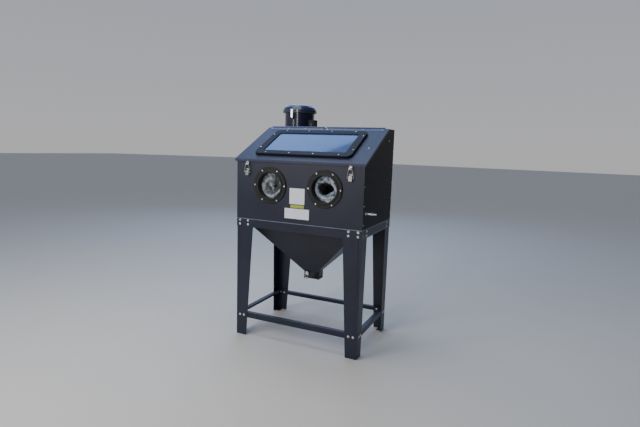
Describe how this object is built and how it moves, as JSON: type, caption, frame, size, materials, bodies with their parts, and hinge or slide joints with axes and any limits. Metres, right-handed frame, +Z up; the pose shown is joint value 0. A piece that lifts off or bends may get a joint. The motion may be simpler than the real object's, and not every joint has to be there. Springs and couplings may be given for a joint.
{
  "type": "sandblast cabinet",
  "caption": "Free-standing suction sandblast cabinet on legs, with a sloping hinged window lid, arm ports with gloves, a media hopper and a rear dust collector.",
  "frame": {"origin": "on the floor, under the middle of the whole envelope (air fitting and dust collector included)", "axes": "+Z up, +Y from the operator's side to the back, +X to the operator's right; the operator stands on the -Y side"},
  "size_m": [1.062, 0.918, 1.709],
  "materials": {
    "powder_coat": "satin textured powder coat, anthracite blue-grey",
    "zinc": "bright zinc plate",
    "chrome": "bright chrome",
    "steel": "galvanised",
    "black_rubber": "matt moulded",
    "glove_fabric": "coated cotton",
    "window": "clear",
    "lamp_glass": "frosted",
    "label": "blank printed film",
    "gloss_coat": "gloss",
    "cast_aluminium": "cast",
    "ceramic": "unglazed",
    "motor_shell": "die cast",
    "black_plastic": "moulded",
    "filter_paper": "pleated"
  },
  "bodies": {
    "cabinet": {"front_panel": "powder_coat", "left_side_panel": "powder_coat", "right_side_panel": "powder_coat", "back_panel": "powder_coat", "top_panel": "powder_coat", "lid_seal": "black_rubber", "skirt_rails": "powder_coat", "front_legs": "powder_coat", "rear_legs": "powder_coat", "lower_rails": "powder_coat", "frame_bolts": "zinc", "panel_screws": "zinc", "hopper": "powder_coat", "work_grate": "steel", "outlet_fittings": "zinc", "latch_bases": "zinc", "arm_port_rings": "black_rubber", "port_fasteners": "zinc", "glove_left": "glove_fabric", "glove_right": "glove_fabric", "label_plates": "label", "air_inlet": "chrome", "hinge_leaves_body": "steel", "strut_foot": "zinc", "lamp_housing": "powder_coat", "lamp_tube": "lamp_glass", "gun_hook": "steel", "gun_body": "cast_aluminium", "gun_nozzle": "ceramic", "media_pickup": "steel", "exhaust_duct": "steel", "collector_canister": "gloss_coat", "collector_bracket": "powder_coat", "filter_cartridge": "filter_paper", "switch_box": "powder_coat"},
    "lid": {"lid_panel": "powder_coat", "window_frame": "powder_coat", "window_gaskets": "black_rubber", "window_glass": "window", "window_bolts": "zinc", "hinge_leaves_lid": "steel", "lid_screws": "zinc", "latch_keepers": "zinc", "strut_lid_bracket": "steel"},
    "strut_cylinder": {"strut_cylinder": "gloss_coat"},
    "strut_rod": {"strut_rod": "chrome"},
    "latch_lever_left": {"latch_lever_left": "zinc"},
    "latch_bail_left": {"latch_bail_left": "zinc"},
    "latch_lever_right": {"latch_lever_right": "zinc"},
    "latch_bail_right": {"latch_bail_right": "zinc"},
    "trap_door": {"trap_door": "powder_coat"},
    "outlet_latch_lever": {"outlet_latch_lever": "zinc"},
    "outlet_latch_bail": {"outlet_latch_bail": "zinc"},
    "collector_head": {"collector_cap": "gloss_coat", "fan_motor": "motor_shell"},
    "fan": {"fan_impeller": "motor_shell"},
    "cap_clip_front": {"cap_clip_front": "zinc"},
    "cap_clip_rear": {"cap_clip_rear": "zinc"},
    "gun_trigger": {"gun_trigger": "cast_aluminium"},
    "rocker_switch": {"rocker_switch": "black_plastic"}
  },
  "joints": [
    {"name": "lid_hinge", "type": "hinge", "parent": "cabinet", "child": "lid", "pos_m": [-0.012, 0.006, 1.5175], "axis": [-1, 0, 0], "range_deg": [0, 50]},
    {"name": "strut_foot_pivot", "type": "hinge", "parent": "cabinet", "child": "strut_cylinder", "pos_m": [0.426, 0.043, 1.43], "axis": [-1, 0, 0], "range_deg": [0, 44.18]},
    {"name": "strut_stroke", "type": "slide", "parent": "strut_cylinder", "child": "strut_rod", "axis": [0, -0.9707, -0.2404], "range_m": [0, 0.0737]},
    {"name": "latch_lever_pivot_left", "type": "hinge", "parent": "cabinet", "child": "latch_lever_left", "pos_m": [-0.392, -0.446, 1.198], "axis": [-1, 0, 0], "range_deg": [0, 110]},
    {"name": "latch_bail_pivot_left", "type": "hinge", "parent": "latch_lever_left", "child": "latch_bail_left", "pos_m": [-0.392, -0.448, 1.186], "axis": [1, 0, 0], "range_deg": [0, 150]},
    {"name": "latch_lever_pivot_right", "type": "hinge", "parent": "cabinet", "child": "latch_lever_right", "pos_m": [0.368, -0.446, 1.198], "axis": [-1, 0, 0], "range_deg": [0, 110]},
    {"name": "latch_bail_pivot_right", "type": "hinge", "parent": "latch_lever_right", "child": "latch_bail_right", "pos_m": [0.368, -0.448, 1.186], "axis": [1, 0, 0], "range_deg": [0, 150]},
    {"name": "trap_door_hinge", "type": "hinge", "parent": "cabinet", "child": "trap_door", "pos_m": [-0.012, -0.071, 0.424], "axis": [1, 0, 0], "range_deg": [0, 95]},
    {"name": "outlet_latch_lever_pivot", "type": "hinge", "parent": "cabinet", "child": "outlet_latch_lever", "pos_m": [-0.039, -0.18658, 0.45], "axis": [1, 0, 0], "range_deg": [0, 110]},
    {"name": "outlet_latch_bail_pivot", "type": "hinge", "parent": "outlet_latch_lever", "child": "outlet_latch_bail", "pos_m": [-0.039, -0.18782, 0.45744], "axis": [-1, 0, 0], "range_deg": [0, 150]},
    {"name": "collector_head_lift", "type": "slide", "parent": "cabinet", "child": "collector_head", "axis": [0, 0, 1], "range_m": [0, 0.15]},
    {"name": "fan_spin", "type": "hinge", "parent": "collector_head", "child": "fan", "pos_m": [-0.392, 0.32, 1.65], "axis": [0, 0, 1], "continuous": true},
    {"name": "cap_clip_pivot_front", "type": "hinge", "parent": "cabinet", "child": "cap_clip_front", "pos_m": [-0.392, 0.1825, 1.6], "axis": [1, 0, 0], "range_deg": [0, 110]},
    {"name": "cap_clip_pivot_rear", "type": "hinge", "parent": "cabinet", "child": "cap_clip_rear", "pos_m": [-0.33607, 0.44561, 1.6], "axis": [-0.9135, 0.4067, 0], "range_deg": [0, 110]},
    {"name": "gun_trigger_pull", "type": "hinge", "parent": "cabinet", "child": "gun_trigger", "pos_m": [-0.448, 0.014, 1.232], "axis": [1, 0, 0], "range_deg": [0, 6], "stiffness_Nm_per_rad": 0.5, "springref_deg": -5.73},
    {"name": "rocker_tilt", "type": "hinge", "parent": "cabinet", "child": "rocker_switch", "pos_m": [-0.217, 0.183, 1.543], "axis": [1, 0, 0], "range_deg": [-6, 6]}
  ],
  "couplings": [
    {"joint": "strut_foot_pivot", "follows": "lid_hinge", "ratio": 0.8796},
    {"joint": "strut_stroke", "follows": "lid_hinge", "m_per_rad": 0.08391},
    {"joint": "latch_bail_pivot_left", "follows": "latch_lever_pivot_left", "ratio": 1.36},
    {"joint": "latch_bail_pivot_right", "follows": "latch_lever_pivot_right", "ratio": 1.36},
    {"joint": "outlet_latch_bail_pivot", "follows": "outlet_latch_lever_pivot", "ratio": 1.36}
  ]
}
